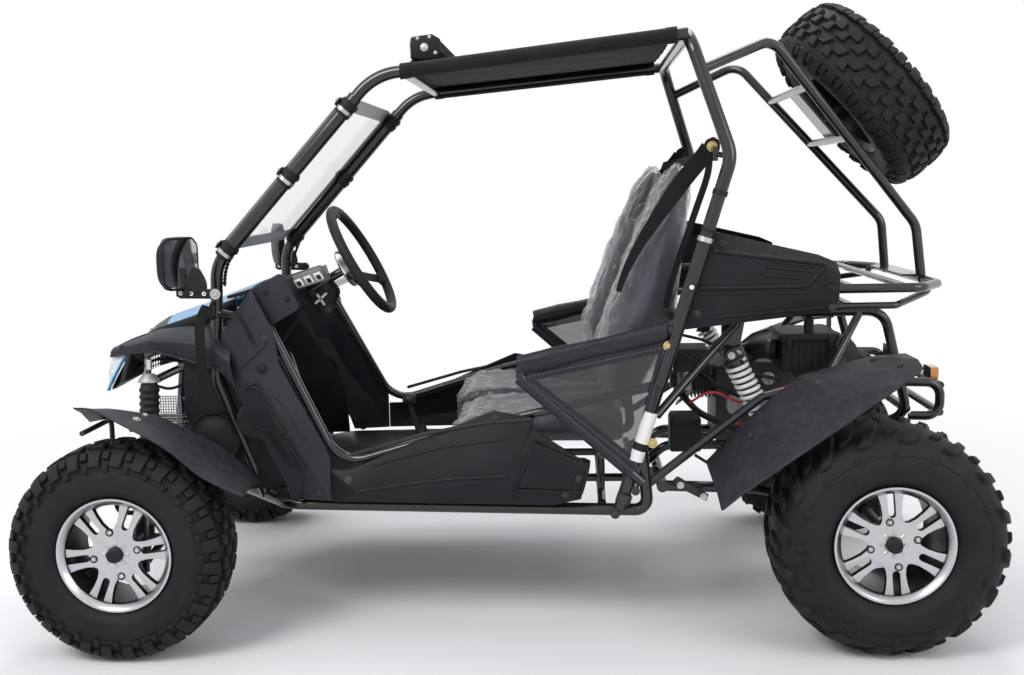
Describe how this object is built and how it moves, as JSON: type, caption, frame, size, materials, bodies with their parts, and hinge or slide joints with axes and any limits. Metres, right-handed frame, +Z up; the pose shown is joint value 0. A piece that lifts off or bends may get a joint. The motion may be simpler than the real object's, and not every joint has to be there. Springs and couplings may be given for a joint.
{
  "type": "two-seat off-road kart with roll cage",
  "caption": "Open two-seat off-road kart with a tubular roll cage, canvas roof, knobby tyres and a spare wheel on the rear cage.",
  "frame": {"origin": "on the ground, at the middle of the kart's length and width", "axes": "+X rearward, +Y to the vehicle's right, +Z up"},
  "size_m": [2.3858, 1.33, 1.5919],
  "materials": {
    "frame_black": "gloss",
    "plastic_black": "satin",
    "plastic_grey": "satin",
    "hood_blue": "gloss",
    "lamp_lens": "gloss",
    "screen_clear": "gloss",
    "canvas": "matte",
    "seat_vinyl": "satin",
    "webbing": "matte",
    "net": "matte",
    "engine_metal": "satin",
    "silencer": "satin",
    "spring_white": "gloss",
    "steel_dark": "satin",
    "rim_alloy": "gloss",
    "tyre_rubber": "matte",
    "lamp_amber": "gloss",
    "grip_black": "satin",
    "mirror_shell": "gloss"
  },
  "bodies": {
    "chassis": {"floor_frame": "frame_black", "front_frame": "frame_black", "side_tubes": "frame_black", "rear_frame": "frame_black", "main_hoop": "frame_black", "front_cage": "frame_black", "rear_cage": "frame_black", "cargo_rack": "frame_black", "floor_pan": "plastic_black", "roof_canvas": "canvas", "windscreen": "screen_clear", "light_bar": "plastic_black", "hood": "hood_blue", "nose_fairing": "plastic_grey", "cowls": "plastic_black", "side_pods": "plastic_black", "dash_panel": "plastic_black", "steering_column": "frame_black", "seats": "seat_vinyl", "side_guards": "frame_black", "belts": "webbing", "engine_block": "engine_metal", "airbox": "plastic_black", "exhaust": "silencer", "rear_panels": "plastic_black", "swing_arm": "frame_black", "shocks": "spring_white", "rear_fenders": "plastic_grey", "rear_bumper": "frame_black", "lamps": "lamp_lens", "front_arms": "frame_black", "spare_rim": "steel_dark", "spare_tyre": "tyre_rubber", "mirrors": "mirror_shell", "controls": "steel_dark"},
    "knuckle_left": {"knuckle_left": "steel_dark", "front_fender_left": "plastic_grey"},
    "knuckle_right": {"knuckle_right": "steel_dark", "front_fender_right": "plastic_grey"},
    "front_wheel_left": {"front_rim_left": "rim_alloy", "front_tyre_left": "tyre_rubber"},
    "front_wheel_right": {"front_rim_right": "rim_alloy", "front_tyre_right": "tyre_rubber"},
    "rear_wheels": {"rear_axle": "steel_dark", "rear_rims": "rim_alloy", "rear_tyres": "tyre_rubber"},
    "steering_wheel": {"steering_wheel": "grip_black"},
    "tie_rods": {"tie_rods": "steel_dark"}
  },
  "joints": [
    {"name": "steer_left", "type": "hinge", "parent": "chassis", "child": "knuckle_left", "pos_m": [-0.9265, -0.47, 0.28], "axis": [0, 0, 1], "range_deg": [-25, 25]},
    {"name": "steer_right", "type": "hinge", "parent": "chassis", "child": "knuckle_right", "pos_m": [-0.9265, 0.47, 0.28], "axis": [0, 0, 1], "range_deg": [-25.5, 25.5]},
    {"name": "steering_turn", "type": "hinge", "parent": "chassis", "child": "steering_wheel", "pos_m": [-0.385, -0.215, 0.937], "axis": [0.8746, 0, 0.4848], "range_deg": [-201, 201]},
    {"name": "tie_rod_slide", "type": "slide", "parent": "chassis", "child": "tie_rods", "axis": [0, 1, 0], "range_m": [-0.046, 0.046]},
    {"name": "front_left_spin", "type": "hinge", "parent": "knuckle_left", "child": "front_wheel_left", "pos_m": [-0.9265, -0.575, 0.2665], "axis": [0, 1, 0], "continuous": true},
    {"name": "front_right_spin", "type": "hinge", "parent": "knuckle_right", "child": "front_wheel_right", "pos_m": [-0.9265, 0.575, 0.2665], "axis": [0, 1, 0], "continuous": true},
    {"name": "rear_axle_spin", "type": "hinge", "parent": "chassis", "child": "rear_wheels", "pos_m": [0.9135, 0, 0.2795], "axis": [0, 1, 0], "continuous": true}
  ],
  "couplings": [
    {"joint": "steer_right", "follows": "steer_left", "ratio": 1},
    {"joint": "steering_turn", "follows": "steer_left", "ratio": 8},
    {"joint": "tie_rod_slide", "follows": "steer_left", "m_per_rad": 0.1017}
  ]
}
